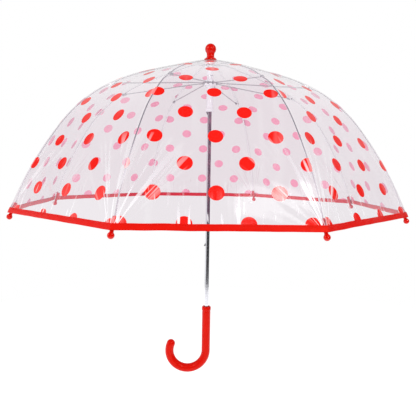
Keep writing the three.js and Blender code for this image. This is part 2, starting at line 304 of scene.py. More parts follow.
def makeSurfaceGroup():
    # moulded or drawn surface: cloudy tint, patchy gloss and a fine height
    cloudScale = 45.0
    group, given, made = newGroup(
        "surfaceDetail", {"Scale": 200.0, "Tint": 0.1, "Gloss": 0.3, "Gloss Spread": 0.1, "Stretch": 1.0},
        ("Shade", "Roughness", "Height"))
    place = put(group, "TexCoord").outputs["Object"]
    squeeze = put(group, "CombineXYZ", X=1.0, Y=1.0, Z=given["Stretch"]).outputs[0]
    spot = vectorMaths(group, "MULTIPLY", place, squeeze)
    cloud = put(group, "TexNoise", Scale=cloudScale, Detail=3.0, Vector=spot).outputs["Fac"]
    fine = put(group, "TexNoise", Scale=given["Scale"], Detail=4.0, Roughness=0.6, Vector=spot)
    height = fine.outputs["Fac"]
    centred = maths(group, "SUBTRACT", cloud, 0.5)
    mixed = maths(group, "ADD", centred, maths(group, "SUBTRACT", height, 0.5))
    feedAll(group, made, {
        "Shade": maths(group, "MULTIPLY_ADD", centred, given["Tint"], 1.0),
        "Roughness": maths(group, "MULTIPLY_ADD", mixed, given["Gloss Spread"], given["Gloss"]),
        "Height": height})
    return group


surfaceGroup = makeSurfaceGroup()


def addSurface(tree, shader, colour, look):
    detail = put(tree, "Group", node_tree=surfaceGroup)
    for key in ("Scale", "Tint", "Gloss", "Gloss Spread", "Stretch"):
        if key in look:
            detail.inputs[key].default_value = look[key]
    shaded = put(tree, "VectorMath", operation="SCALE", Scale=detail.outputs["Shade"])
    feed(tree, shaded.inputs[0], colour)
    bump = put(tree, "Bump", Strength=look["bump"], Distance=look.get("depth", 0.0002),
               Height=detail.outputs["Height"]).outputs[0]
    feedAll(tree, shader, {
        "Base Color": shaded.outputs[0], "Roughness": detail.outputs["Roughness"], "Normal": bump,
        "Metallic": look.get("metal", 0.0), "Coat Weight": look.get("coat", 0.0),
        "Coat Roughness": look.get("coatRoughness", 0.05), "Specular IOR Level": look.get("specular", 0.5),
        "Specular Tint": (*look.get("shine", (1, 1, 1)), 1)})
    return bump


def solidMaterial(name, look):
    material, tree, shader = newMaterial(name)
    addSurface(tree, shader, look["colour"], look)
    return material


def makeRibWire(look):
    # bright wire whose outer side is painted dark, a painted shade for the dark reflections that side picks up
    material, tree, shader = newMaterial("ribWire")
    place = put(tree, "TexCoord").outputs
    outward = vectorMaths(tree, "SUBTRACT", place["Object"], (0, 0, look["domeCentre"]))
    facing = vectorMaths(tree, "DOT_PRODUCT", place["Normal"], vectorMaths(tree, "NORMALIZE", outward))
    # the painted shade on the outer side lightens towards the rib's end
    height = put(tree, "SeparateXYZ", Vector=place["Object"]).outputs["Z"]
    outerPaintedShade = blendColour(tree, ramp(tree, height, *look["fade"]), look["outerPaintedShadeLow"], look["outer"])
    colour = blendColour(tree, ramp(tree, facing, 0.0, 0.5), look["colour"], outerPaintedShade)
    addSurface(tree, shader, colour, look)
    return material


redPlasticLook = {"colour": (0.60, 0.004, 0.001), "Scale": 420.0, "Tint": 0.10, "Gloss": 0.2,
                  "Gloss Spread": 0.10, "bump": 0.05, "depth": 0.0003, "specular": 0.35,
                  "shine": (1, 0.35, 0.25)}
tipLook = {**redPlasticLook, "Gloss": 0.1, "Gloss Spread": 0.04, "bump": 0.02, "coat": 0.5,
           "coatRoughness": 0.03}
whitePlasticLook = {"colour": (0.87, 0.87, 0.91), "Scale": 500.0, "Tint": 0.08, "Gloss": 0.34,
                    "Gloss Spread": 0.15, "bump": 0.08, "coat": 0.2}
chromeLook = {"colour": (0.78, 0.78, 0.83), "Scale": 900.0, "Tint": 0.06, "Gloss": 0.11,
              "Gloss Spread": 0.06, "Stretch": 0.03, "bump": 0.03, "metal": 0.98}
drawnWire = {"Scale": 700.0, "Tint": 0.2, "Gloss": 0.3, "Gloss Spread": 0.15, "Stretch": 0.2, "bump": 0.06}
# the outer colours are painted shade on the wire's outer side, lightened towards the rib's end
ribLook = {**drawnWire, "colour": (0.84, 0.83, 0.86), "outer": (0.15, 0.17, 0.19),
           "outerPaintedShadeLow": (0.62, 0.61, 0.65), "fade": (0.32, 0.37), "domeCentre": 0.2, "metal": 0.15}
stretcherLook = {**drawnWire, "colour": (0.42, 0.43, 0.45), "metal": 0.4}
springLook = {"colour": (0.16, 0.16, 0.17), "Scale": 600.0, "Tint": 0.2, "Gloss": 0.4,
              "Gloss Spread": 0.2, "bump": 0.08, "metal": 0.8}
rivetLook = {"colour": (0.42, 0.42, 0.45), "Scale": 800.0, "Tint": 0.2, "Gloss": 0.25,
             "Gloss Spread": 0.1, "bump": 0.05, "metal": 1.0}
redPlastic = solidMaterial("redPlastic", redPlasticLook)
tipPlastic = solidMaterial("tipPlastic", tipLook)
whitePlastic = solidMaterial("whitePlastic", whitePlasticLook)
chrome = solidMaterial("chromeTube", chromeLook)
ribSteel = makeRibWire(ribLook)
stretcherSteel = solidMaterial("stretcherWire", stretcherLook)
springSteel = solidMaterial("springSteel", springLook)
rivetSteel = solidMaterial("rivetSteel", rivetLook)


def makeDotGroup():
    # round dots on a staggered lattice in flat film metres
    group, given, made = newGroup(
        "staggeredDots",
        {"Place": None, "Pitch Across": 0.08, "Pitch Up": 0.08, "Radius": 0.01, "Edge": 0.0003}, ("Dots",))
    pitch = put(group, "CombineXYZ", X=given["Pitch Across"], Y=given["Pitch Up"], Z=1.0).outputs[0]
    cell = vectorMaths(group, "DIVIDE", given["Place"], pitch)
    nearest = []
    for shift in (0.5, 0.0):
        part = vectorMaths(group, "FRACTION", vectorMaths(group, "ADD", cell, (shift, shift, 0)))
        centred = vectorMaths(group, "SUBTRACT", part, (0.5, 0.5, 0))
        nearest.append(vectorMaths(group, "LENGTH", vectorMaths(group, "MULTIPLY", centred, pitch)))
    inside = maths(group, "SUBTRACT", given["Radius"], maths(group, "MINIMUM", *nearest))
    feedAll(group, made, {"Dots": maths(group, "DIVIDE", inside, given["Edge"], clamp=True)})
    return group


# grain is along each line, limits are the share of noise that shows, and sides fade a fan's slant
fanCreases = {"grain": 9.0, "limits": (0.55, 0.61), "sides": (0.85, 0.45), "cornerDrop": 0.012,
              "sideSeed": 3.7}
hemCreases = {"grain": 20.0, "limits": (0.62, 0.67), "seed": 20.0}


def creaseLines(group, places, limits, length, reach):
    # thin lines of noise, and how they fade over their reach
    spot = put(group, "CombineXYZ", X=places[0], Y=places[1], Z=places[2]).outputs[0]
    pattern = put(group, "TexNoise", Scale=1.0, Detail=1.0, Vector=spot).outputs["Fac"]
    fade = maths(group, "SUBTRACT", 1.0, maths(group, "DIVIDE", length, reach), clamp=True)
    return ramp(group, pattern, *limits), fade


def makeCreaseGroup():
    # crease lines that the film paints white as highlights: fans that rise from a gore's lower corners, and
    # short lines up from the hem
    group, given, made = newGroup(
        "filmCreases", {"Place": None, "Rim Distance": 0.1, "Seed": 0.0, "Fan Count": 15.0, "Fan Reach": 0.14,
                        "Hem Count": 190.0, "Hem Reach": 0.075}, ("Lines",))
    flat = put(group, "SeparateXYZ", Vector=given["Place"]).outputs
    across, rise, rim = flat["X"], flat["Y"], given["Rim Distance"]
    seed = maths(group, "MULTIPLY_ADD", maths(group, "SIGN", across), fanCreases["sideSeed"], given["Seed"])
    angle = maths(group, "ARCTAN2", rim, maths(group, "ADD", rise, fanCreases["cornerDrop"]))
    reach = maths(group, "SQRT", maths(group, "MULTIPLY_ADD", rim, rim, maths(group, "MULTIPLY", rise, rise)))
    places = (maths(group, "MULTIPLY", angle, given["Fan Count"]),
              maths(group, "MULTIPLY", reach, fanCreases["grain"]), seed)
    line, fade = creaseLines(group, places, fanCreases["limits"], reach, given["Fan Reach"])
    slanted = maths(group, "MULTIPLY", line, ramp(group, angle, *fanCreases["sides"]))
    fans = maths(group, "MULTIPLY", slanted, maths(group, "SQRT", fade))
    places = (maths(group, "MULTIPLY", across, given["Hem Count"]),
              maths(group, "MULTIPLY", rise, hemCreases["grain"]),
              maths(group, "ADD", seed, hemCreases["seed"]))
    line, fade = creaseLines(group, places, hemCreases["limits"], rise, given["Hem Reach"])
    feedAll(group, made, {"Lines": maths(group, "MAXIMUM", fans, maths(group, "MULTIPLY", line, fade))})
    return group


dotGroup = makeDotGroup()
creaseGroup = makeCreaseGroup()
filmLook = {
    # edge is a painted reflection that whitens the film at glancing angles
    "clear": (0.26, 0.11, 0.22), "inside": (0.40, 0.10, 0.20), "edge": (0.97, 0.96, 0.99),
    # white is the colour of the painted crease highlights, the painted fold sheen and the paler seams
    "white": (0.98, 0.97, 0.99), "dot": (0.86, 0.008, 0.003), "dotBack": (0.88, 0.27, 0.42),
    "veil": 0.24, "insideVeil": 0.10, "edgeVeil": 0.3, "passOn": 0.7, "gloss": 0.05, "inkDull": 0.03,
    "ior": 2.2, "foldGrain": (60.0, 5.0, 1.0), "foldLimits": (0.56, 0.72), "foldPaintedSheen": 0.12, "foldBump": 0.4,
    "foldDepth": 0.0012, "creasePaintedHighlight": 0.95, "insideFade": 0.6, "seamWidth": 0.0035, "seamWhite": 0.25,
    "pitch": (0.082, 0.0855), "dotRadius": 0.0108,
}


def makeFilm(look):
    material, tree, shader = newMaterial("clearFilm")
    flat = put(tree, "UVMap", uv_map="flat").outputs[0]
    printed = put(tree, "UVMap", uv_map="print").outputs[0]
    seed = put(tree, "Attribute", attribute_name="goreSeed").outputs["Fac"]
    rim = put(tree, "Attribute", attribute_name="rimDistance").outputs["Fac"]
    turned = put(tree, "NewGeometry").outputs["Backfacing"]
    dots = put(tree, "Group", node_tree=dotGroup, Place=printed, Pitch_Across=look["pitch"][0],
               Pitch_Up=look["pitch"][1], Radius=look["dotRadius"]).outputs["Dots"]
    creases = put(tree, "Group", node_tree=creaseGroup, Place=flat, Rim_Distance=rim, Seed=seed)
    # long soft folds that run up each gore, bumped, with a pale painted sheen along them
    lift = put(tree, "CombineXYZ", Z=seed).outputs[0]
    spot = vectorMaths(tree, "ADD", vectorMaths(tree, "MULTIPLY", flat, look["foldGrain"]), lift)
    folds = put(tree, "TexNoise", Scale=1.0, Detail=2.0, Vector=spot).outputs["Fac"]
    paintedFoldSheen = maths(tree, "MULTIPLY", ramp(tree, folds, *look["foldLimits"]), look["foldPaintedSheen"])
    # the creases are painted white: painted highlights along them, weaker from inside
    paintedCreaseHighlights = maths(tree, "MULTIPLY", creases.outputs["Lines"], look["creasePaintedHighlight"])
    paintedCreaseHighlights = maths(tree, "MULTIPLY", paintedCreaseHighlights, maths(tree, "MULTIPLY_ADD", turned, -look["insideFade"], 1.0))
    seam = ramp(tree, rim, look["seamWidth"], look["seamWidth"] * 0.8, look["seamWhite"])
    # painted crease highlights, painted fold sheen and the paler seams along the ribs, all mixed towards white
    white = maths(tree, "MAXIMUM", maths(tree, "MAXIMUM", paintedCreaseHighlights, paintedFoldSheen), seam)
    # colour
    # colour: whiter at glancing angles, a painted reflection that is partly the longer path through the film
    facing = put(tree, "LayerWeight", Blend=0.5).outputs["Facing"]
    grazing = maths(tree, "POWER", facing, 2.0)
    veilColour = blendColour(tree, turned, look["clear"], look["inside"])
    veilColour = blendColour(tree, grazing, veilColour, look["edge"])
    ink = blendColour(tree, turned, look["dot"], look["dotBack"])
    dotted = blendColour(tree, dots, veilColour, ink)
    # alpha: clear film, denser at glancing angles as a painted reflection and partly a longer path through it,
    # at the painted crease highlights and fold sheen, along the seams and where it is printed
    veil = maths(tree, "MULTIPLY_ADD", turned, look["insideVeil"] - look["veil"], look["veil"])
    veil = maths(tree, "MULTIPLY_ADD", grazing, look["edgeVeil"], veil)
    # the film dims what is seen through it more than the light that passes on
    path = put(tree, "LightPath").outputs
    passing = maths(tree, "MAXIMUM", path["Is Shadow Ray"], path["Is Diffuse Ray"])
    alpha = maths(tree, "MULTIPLY", veil, maths(tree, "MULTIPLY_ADD", passing, -look["passOn"], 1.0))
    alpha = maths(tree, "MAXIMUM", maths(tree, "MAXIMUM", alpha, dots), white)
    bump = put(tree, "Bump", Strength=look["foldBump"], Distance=look["foldDepth"], Height=folds)
    feedAll(tree, shader, {
        "Base Color": blendColour(tree, white, dotted, look["white"]), "Alpha": alpha, "IOR": look["ior"],
        "Roughness": maths(tree, "MULTIPLY_ADD", dots, look["inkDull"], look["gloss"]),
        "Normal": bump.outputs[0]})
    return material


bandLook = {"colour": (0.64, 0.005, 0.002), "thread": (0.60, 0.005, 0.003), "Scale": 300.0, "Tint": 0.25,
            "Gloss": 0.3, "Gloss Spread": 0.15, "bump": 0.15, "depth": 0.0004, "specular": 0.2,
            "shine": (1, 0.3, 0.2), "stitch": 3.2 * mm, "row": 6.8 * mm, "threadWidth": 0.35 * mm}


def makeBand(look):
    material, tree, shader = newMaterial("redBand")
    flat = put(tree, "UVMap", uv_map="flat").outputs[0]
    split = put(tree, "SeparateXYZ", Vector=flat).outputs
    # one row of stitches near the band's upper edge
    along = maths(tree, "FRACT", maths(tree, "DIVIDE", split["X"], look["stitch"]))
    dash = ramp(tree, maths(tree, "ABSOLUTE", maths(tree, "SUBTRACT", along, 0.5)), 0.36, 0.3)
    offRow = maths(tree, "ABSOLUTE", maths(tree, "SUBTRACT", split["Y"], look["row"]))
    line = ramp(tree, offRow, look["threadWidth"] * 1.4, look["threadWidth"] * 0.6)
    stitch = maths(tree, "MULTIPLY", dash, line)
    bump = addSurface(tree, shader, blendColour(tree, stitch, look["colour"], look["thread"]), look)
    sewn = put(tree, "Bump", Strength=0.6, Distance=0.4 * mm, Height=stitch, Normal=bump)
    feed(tree, shader.inputs["Normal"], sewn.outputs[0])
    return material


filmMaterial = makeFilm(filmLook)
bandMaterial = makeBand(bandLook)
report("materials made")

dome = {
    "radius": 355 * mm,
    "hemZ": 248 * mm,
    "crownRadius": 12 * mm,
    "crownZ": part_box("canopy_panel_1")[1].z,
    # radius and height over the hem, as shares of the dome radius
    "line": [(0.15, 0.733), (0.3, 0.693), (0.45, 0.643), (0.6, 0.565), (0.72, 0.463), (0.82, 0.334),
             (0.9, 0.206), (0.955, 0.1), (1, 0)],
    "bandWidth": 9 * mm,
    "bandDrop": 4 * mm,  # the band's middle hangs this far past the ribs' ends
    "ribDepth": 2.6 * mm,
    "ribEndDepth": 4.8 * mm,
}


def makeDomeLine():
    points = [Vector((dome["crownRadius"], dome["crownZ"]))]
    for radius, height in dome["line"]:
        points.append(Vector((radius * dome["radius"], dome["hemZ"] + height * dome["radius"])))
    return smoothLine(points, 40)


domeLine = makeDomeLine()
domeLengths = [0.0]
for a, b in zip(domeLine, domeLine[1:]):
    domeLengths.append(domeLengths[-1] + (b - a).length)
domeLength = domeLengths[-1]
hemLength = domeLength + dome["bandDrop"]


def domeAt(distance):
    # radius and height at a distance from the crown's flat, carried on straight past both ends
    low, high = 0, len(domeLengths) - 1
    while high - low > 1:
        middle = (low + high) // 2
        if domeLengths[middle] <= distance:
            low = middle
        else:
            high = middle
    t = (distance - domeLengths[low]) / (domeLengths[low + 1] - domeLengths[low])
    return domeLine[low] + (domeLine[low + 1] - domeLine[low]) * t


def domeWay(distance):
    step = 2 * mm
    return (domeAt(distance + step) - domeAt(distance - step)).normalized()


def underDome(distance, depth):
    way = domeWay(distance)
    return domeAt(distance) + Vector((way.y, -way.x)) * depth


def halfGore(distance):
    # half the gore's width between its two ribs
    return domeAt(distance).x * math.sin(halfSector)


def distanceAtRadius(radius):
    low, high = 0.0, domeLength
    for _ in range(40):
        middle = (low + high) / 2
        if domeAt(middle).x < radius:
            low = middle
        else:
            high = middle
    return low


def jointPlace(name):
    place = next(j for j in frame["joints"] if j["name"] == name)["pos_m"]
    return Vector((math.hypot(place[0], place[1]), place[2]))


ribHinge = jointPlace("rib_crown_hinge_1")
ribElbow = jointPlace("rib_elbow_hinge_1")
runnerHinge = jointPlace("stretcher_hinge_1")
elbowDistance = distanceAtRadius(ribElbow.x)


def inPlane(point, y=0.0):
    return Vector((point.x, y, point.y))


film = {
    "columns": 84, "upperRows": 32, "lowerRows": 72, "keep": 0.14, "bandKeep": 0.095,
    "start": -5 * mm, "endInset": 1.6 * mm,
    "ripple": 1.2 * mm, "fold": 0.35 * mm, "pull": 1.3 * mm,
    "rippleGrain": (1.6, 7), "foldGrain": (55, 5), "fanGrain": (6, 8),  # across and along the gore
    "crownTaut": 120 * mm, "lowZone": 160 * mm, "corner": 12 * mm, "pullReach": 70 * mm, "foldsAbove": 0.35,
    # where each gore was cut from the printed roll: a dot's place across and up from the rib ends, mm
    "printShift": [(-4.5, 43), (-8, 44), (0, 42), (5, 36), (1.5, 43), (12, 44), (4, 41), (9, 39)],
}


def goreNoise(across, along, grain, seeds):
    return noise.noise(Vector((across * grain[0] + seeds[0], along * grain[1], seeds[1])))


def goreRipple(seed, across, distance):
    # how far the film stands off its straight line between two ribs
    share = min(1.0, abs(across))
    half = halfGore(distance)
    rise = hemLength - distance
    rim = half * (1 - share)
    free = (1 - share * share) ** 0.6 * min(1.0, max(0.0, distance) / film["crownTaut"])
    low = max(0.0, 1 - max(0.0, rise) / film["lowZone"])
    slant = math.atan2(rim, film["corner"] + max(0.0, rise))
    slow = goreNoise(across, distance, film["rippleGrain"], (seed * 3.1, seed * 1.7))
    folds = goreNoise(across * half, distance, film["foldGrain"], (seed * 5.3, seed * 2.9))
    fan = goreNoise(slant, rise, film["fanGrain"], (0, seed * 4 + math.copysign(9, across)))
    pull = low * min(1.0, rim / film["corner"]) * math.exp(-rim / film["pullReach"])
    return (film["ripple"] * slow * free + film["fold"] * folds * free * (film["foldsAbove"] + low)
            + film["pull"] * fan * pull)


def goreOutward(distance):
    way = domeWay(distance)
    return Vector((-way.y, 0, way.x * math.cos(halfSector))).normalized()


def gorePoint(seed, across, distance):
    # point of the gore that faces +X, with its ribs at half a sector to each side
    rim = domeAt(distance)
    flat = Vector((rim.x * math.cos(halfSector), across * halfGore(distance), rim.y))
    return flat + goreOutward(distance) * goreRipple(seed, across, distance)


def goreAngle(index):
    return frontAngle + index * sector


def filmMesh(index, name, fromDistance, toDistance, rows, body):
    columns, seed = film["columns"], index + 1.0
    turn = Matrix.Rotation(goreAngle(index), 3, "Z")
    shift = film["printShift"][index]
    step = (toDistance - fromDistance) / rows
    acrosses = [-1 + 2 * k / columns for k in range(columns + 1)]
    grid = []
    for i in range(-1, rows + 2):
        grid.append([turn @ gorePoint(seed, across, fromDistance + step * i) for across in acrosses])
    verts, normals, flats, prints, rims = [], [], [], [], []
    for i in range(rows + 1):
        distance = fromDistance + step * i
        half = halfGore(distance)
        row = grid[i + 1]
        for k, across in enumerate(acrosses):
            verts.append(row[k])
            sideways = row[min(k + 1, columns)] - row[max(k - 1, 0)]
            normals.append((grid[i + 2][k] - grid[i][k]).cross(sideways).normalized())
            flats.append((across * half, hemLength - distance))
            prints.append((across * half - shift[0] * mm, domeLength - distance - shift[1] * mm))
            rims.append(half * (1 - abs(across)))
    faces = []
    for i in range(rows):
        for k in range(columns):
            a = i * (columns + 1) + k
            faces.append((a, a + columns + 1, a + columns + 2, a + 1))
    number = index + 1
    piece = meshPiece(f"{name}_{number}", verts, faces, f"{body}_{number}", "clear_film", filmMaterial,
                      f"canopy_panel_{number}", 180)
    mesh = piece.data
    addUvMap(mesh, "flat", flats)
    addUvMap(mesh, "print", prints)
    for label, values in (("goreSeed", [seed * 1.37] * len(verts)), ("rimDistance", rims)):
        attribute = mesh.attributes.new(label, "FLOAT", "POINT")
        attribute.data.foreach_set("value", values)
    mesh.normals_split_custom_set_from_vertices([tuple(n) for n in normals])
    return piece


def squashGore(piece):
    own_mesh(piece)


tape = {"columns": 64, "leaf": 0.45 * mm, "gap": 0.35 * mm, "wave": 0.5 * mm, "sag": 0.8 * mm,
        "middle": 0.4, "shoulder": 0.85, "lining": 0.7, "fold": 0.2}  # shares of half the width


def tapeOutline():
    # section of tape folded over the film's edge: two swelling leaves with a rounded fold below
    half, gap = dome["bandWidth"] / 2, tape["gap"]
    thick = gap + tape["leaf"]
    middle, shoulder, lining = (half * tape[key] for key in ("middle", "shoulder", "lining"))
    outer = [(-half, gap), (-half, thick), (-middle, thick * 1.15), (middle, thick * 1.1), (shoulder, thick)]
    inner = [(middle, -thick * 1.1), (-middle, -thick * 1.15), (-half, -thick), (-half, -gap),
             (lining, -gap), (lining, gap)]
    fold = []
    for degrees in (72, 36, 0, -36, -72):
        angle = math.radians(degrees)
        fold.append((shoulder + half * tape["fold"] * math.cos(angle), thick * math.sin(angle)))
    return outer + fold + inner


def bandMesh(index):
    turn = Matrix.Rotation(goreAngle(index), 3, "Z")
    columns, seed = tape["columns"], index + 1.0
    outline = tapeOutline()
    verts, flats = [], []
    for k in range(columns + 1):
        across = -1 + 2 * k / columns
        wave = tape["wave"] * noise.noise(Vector((across * 5 + seed * 4, seed, 0)))
        sag = tape["sag"] * noise.noise(Vector((across * 2.5 + seed * 7, 0, seed)))
        for along, out in outline:
            distance = hemLength + along + wave * (1 - across ** 8)
            rim, half = domeAt(distance), halfGore(distance)
            off = out + goreRipple(seed, across, hemLength) + sag * (1 - across * across)
            lateral = across * (half + off * math.tan(halfSector))
            place = Vector((rim.x * math.cos(halfSector), lateral, rim.y))
            verts.append(turn @ (place + goreOutward(distance) * off))
            flats.append((across * half, dome["bandWidth"] / 2 - along))
    count = len(outline)
    faces = []
    for k in range(columns):
        for j in range(count):
            a, b = k * count + j, k * count + (j + 1) % count
            faces.append((a, a + count, b + count, b))
    faces.append(tuple(range(count)))
    faces.append(tuple(reversed(range(columns * count, (columns + 1) * count))))
    number = index + 1
    piece = meshPiece(f"hemBand_{number}", verts, faces, f"hem_{number}", "red_band", bandMaterial,
                      f"hem_binding_{number}", 50)
    addUvMap(piece.data, "flat", flats)
    return piece


def makeGores():
    start, end = film["start"], hemLength + dome["bandWidth"] / 2 - film["endInset"]
    for index in range(ribCount):
        upper = filmMesh(index, "filmUpper", start, elbowDistance, film["upperRows"], "panel")
        lower = filmMesh(index, "filmLower", elbowDistance, end, film["lowerRows"], "hem")
        band = bandMesh(index)
        sheets = ((upper, start, elbowDistance, []), (lower, elbowDistance, end, [band]))
        for piece, top, bottom, others in sheets:
            squashGore(piece)
        squashGore(band)
    report("film gores and hem bands made")


makeGores()


def ribAngle(index):
    return goreAngle(index) + halfSector


def wireTube(path, radius, steps, sides):
    # round wire along the points of a path, with its ends eased
    frameAt, length = pathFrame(smoothLine(path, 8), Vector((0, 1, 0)))
    eased = radius * 0.7
    body = [(length * i / steps, radius) for i in range(steps + 1)]
    return ringBody(frameAt, [(0.0, eased), *body, (length, eased)], sides)


def eyePlate(centre, way, outer, hole, arm, fromY, toY):
    # flat eye with a hole and a short arm, in the XZ plane
    sides, armHalf = 20, 0.8
    side = Vector((-way.y, way.x))
    spread = math.asin(armHalf)
    outline, bore = [], []
    for k in range(sides + 1):
        angle = spread + (2 * math.pi - 2 * spread) * k / sides
        outline.append(centre + way * (outer * math.cos(angle)) + side * (outer * math.sin(angle)))
        turn = 2 * math.pi * (k + 0.5) / (sides + 1)
        bore.append(centre + way * (hole * math.cos(turn)) + side * (hole * math.sin(turn)))
    outline += [centre + way * arm - side * (armHalf * outer), centre + way * arm + side * (armHalf * outer)]
    bm = bmesh.new()
    for ring in (outline, bore):
        made = [bm.verts.new((p.x, fromY, p.y)) for p in ring]
        for a, b in zip(made, made[1:] + made[:1]):
            bm.edges.new((a, b))
    bmesh.ops.triangle_fill(bm, edges=list(bm.edges), use_beauty=True)
    thicken(bm, list(bm.faces), toY - fromY)
    return takeMesh(bm)


def wirePiece(index, name, node, parts, material):
    # joins a wire and its eyes, made in the XZ plane, and turns them to their rib's place
    verts, faces = [], []
    for partVerts, partFaces in parts:
        start = len(verts)
        verts += partVerts
        faces += [tuple(start + i for i in face) for face in partFaces]
    number = index + 1
    return meshPiece(f"{name}_{number}", turnedBy(verts, ribAngle(index)), faces, f"{node}_{number}",
                     "rib_wire", material, f"{node}_{number}")


def towards(a, b, distance):
    return a + (b - a).normalized() * distance


rib = {
    "radius": 1.0 * mm, "sides": 14, "upperSteps": 48, "lowerSteps": 64, "rivet": 0.7 * mm,
    "upperShares": (0.12, 0.3, 0.5, 0.7, 0.88), "lowerShares": (0.12, 0.32, 0.52, 0.72, 0.86),
    # an eye's outer radius, hole and arm, and its two faces across the rib's own plane
    "hingeEye": (2.5 * mm, 1.1 * mm, 5 * mm, -0.9 * mm, 0.9 * mm),
    "upperEye": (2.5 * mm, 0.6 * mm, 8 * mm, -1.4 * mm, -0.2 * mm),
    "lowerEye": (2.5 * mm, 0.9 * mm, 8 * mm, 0.2 * mm, 1.4 * mm),
}


def upperRib(index):
    stations = [underDome(elbowDistance * share, dome["ribDepth"]) for share in rib["upperShares"]]
    path = [towards(ribHinge, stations[0], 2.4 * mm), *stations, towards(ribElbow, stations[-1], 4 * mm)]
    wire = wireTube([inPlane(p) for p in path], rib["radius"], rib["upperSteps"], rib["sides"])
    hingeEye = eyePlate(ribHinge, (stations[0] - ribHinge).normalized(), *rib["hingeEye"])
    elbowEye = eyePlate(ribElbow, (stations[-1] - ribElbow).normalized(), *rib["upperEye"])
    return wirePiece(index, "ribUpper", "rib_upper", (wire, hingeEye, elbowEye), ribSteel)


def tipAxis():
    end = underDome(domeLength, dome["ribEndDepth"])
    start = underDome(domeLength * 0.97, dome["ribEndDepth"])
    return end, (end - start).normalized()


def lowerRib(index):
    run = domeLength - elbowDistance
    stations = [underDome(elbowDistance + run * share, dome["ribDepth"]) for share in rib["lowerShares"]]
    end, way = tipAxis()
    path = [towards(ribElbow, stations[0], 4 * mm), *stations, end - way * 14 * mm, end - way * 7 * mm, end]
    wire = wireTube([inPlane(p) for p in path], rib["radius"], rib["lowerSteps"], rib["sides"])
    elbowEye = eyePlate(ribElbow, (stations[0] - ribElbow).normalized(), *rib["lowerEye"])
    return wirePiece(index, "ribLower", "rib_lower", (wire, elbowEye), ribSteel)


stretcher = {"radius": 0.85 * mm, "sides": 12, "steps": 40, "offset": 2.9 * mm,
             "hingeEye": (2.4 * mm, 1.1 * mm, 6 * mm, -0.9 * mm, 0.9 * mm),
             "elbowEye": (2.4 * mm, 1.0 * mm, 8 * mm, 2.05 * mm, 3.25 * mm),
             # distance from the runner's hinge, mm, and share of the step aside to pass the rib
             "stepAside": ((2.4, 0.0), (7, 0.0), (16, 0.5), (25, 1.0))}


def stretcherBar(index):
    offset = stretcher["offset"]
    way = (ribElbow - runnerHinge).normalized()
    path = [inPlane(runnerHinge + way * distance * mm, y * offset) for distance, y in stretcher["stepAside"]]
    path += [inPlane(ribElbow - way * distance * mm, offset) for distance in (80, 3)]
    wire = wireTube(path, stretcher["radius"], stretcher["steps"], stretcher["sides"])
    inner = eyePlate(runnerHinge, way, *stretcher["hingeEye"])
    outer = eyePlate(ribElbow, -way, *stretcher["elbowEye"])
    return wirePiece(index, "stretcherBar", "stretcher", (wire, inner, outer), stretcherSteel)


def elbowRivet(index):
    # rivet through both rib eyes, with a domed head beside the upper rib's eye
    shank, head = rib["rivet"], 1.7 * mm
    low, high = -1.4 * mm, 1.55 * mm
    rings = [(low - 0.75 * mm, 0.3 * mm), (low - 0.6 * mm, 1.1 * mm), (low - 0.1 * mm, head), (low, head),
             (low, shank), (high, shank)]

    def frameAt(distance):
        return Vector((ribElbow.x, distance, ribElbow.y)), Vector((0, 0, 1)), Vector((1, 0, 0))

    verts, faces = ringBody(frameAt, rings, 18)
    number = index + 1
    return meshPiece(f"elbowRivet_{number}", turnedBy(verts, ribAngle(index)), faces, f"rib_upper_{number}",
                     "spring_steel", rivetSteel)


def ribTip(index):
    end, way = tipAxis()
    ball, ballAt, bore = 4.7 * mm, 14 * mm, rib["radius"] + 0.35 * mm
    rings = [(0, bore), (-11 * mm, bore)]
    rings += scaled([(-11.2, 2.3), (-11, 2.7), (-9.6, 3.0), (-7, 2.95), (4, 2.7), (8.6, 2.55), (9.7, 2.75)])
    rings += arcRings((ballAt, 0), ball, -50, 89, 14)
    side, tipWay, centre = Vector((0, 1, 0)), inPlane(way), inPlane(end)

    def frameAt(distance):
        return centre + tipWay * distance, side, tipWay.cross(side)

    verts, faces = ringBody(frameAt, rings, 24)
    number = index + 1
    return meshPiece(f"tip_{number}", turnedBy(verts, ribAngle(index)), faces, f"rib_lower_{number}",
                     "red_plastic", tipPlastic, f"rib_tip_{number}")


for index in range(ribCount):
    upperRib(index)
    lowerRib(index)
    stretcherBar(index)
    elbowRivet(index)
    ribTip(index)
report("ribs, stretchers and tips made")

shaftSize = {"radius": 4 * mm, "wall": 0.8 * mm, "bottom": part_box("shaft")[0].z, "top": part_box("shaft")[1].z}
# the slotted collar that the wires hinge in: a groove for the ring they turn on, and a slot for each
collar = {"slotIn": 6 * mm, "slotOut": 20 * mm, "grooveIn": 8.1 * mm, "grooveOut": 16 * mm,
          "grooveHalf": 0.9 * mm}


def collarCutters(z, slotWidth, below, above):
    cutters = []
    for index in range(ribCount):
        verts, faces = boxMesh((collar["slotIn"], -slotWidth / 2, z - below),
                               (collar["slotOut"], slotWidth / 2, z + above))
        cutters.append((turnedBy(verts, ribAngle(index)), faces))
    inner, outer, half = (collar[key] for key in ("grooveIn", "grooveOut", "grooveHalf"))
    corners = [(z - half, inner), (z - half, outer), (z + half, outer), (z + half, inner)]
    return [*cutters, ringBody(upright, corners, 48, closed=True)]


def turnedPiece(name, rings, sides, body, slot, material, node, cutters=()):
    verts, faces = ringBody(upright, rings, sides, closed=True)
    piece = meshPiece(name, verts, faces, body, slot, material, node, 35)
    if cutters:
        cutAway(piece, cutters)
    return piece


def topNotch():
    z, bore = ribHinge.y, 4.3
    rings = scaled([(-17.7, bore), (-17.7, 5.5), (-17.4, 5.9), (-6, 5.9), (-5, 7.2), (-5, 11.6), (-4.6, 12.3),
                    (-4, 12.6), (5, 12.6), (6, 12.0), (7.2, 11), (7.4, 10.6), (7.4, bore)], z)
    return turnedPiece("crownNotch", rings, 64, "frame", "white_plastic", whitePlastic, "top_notch",
                       collarCutters(z, 3.2 * mm, 12 * mm, 3 * mm))


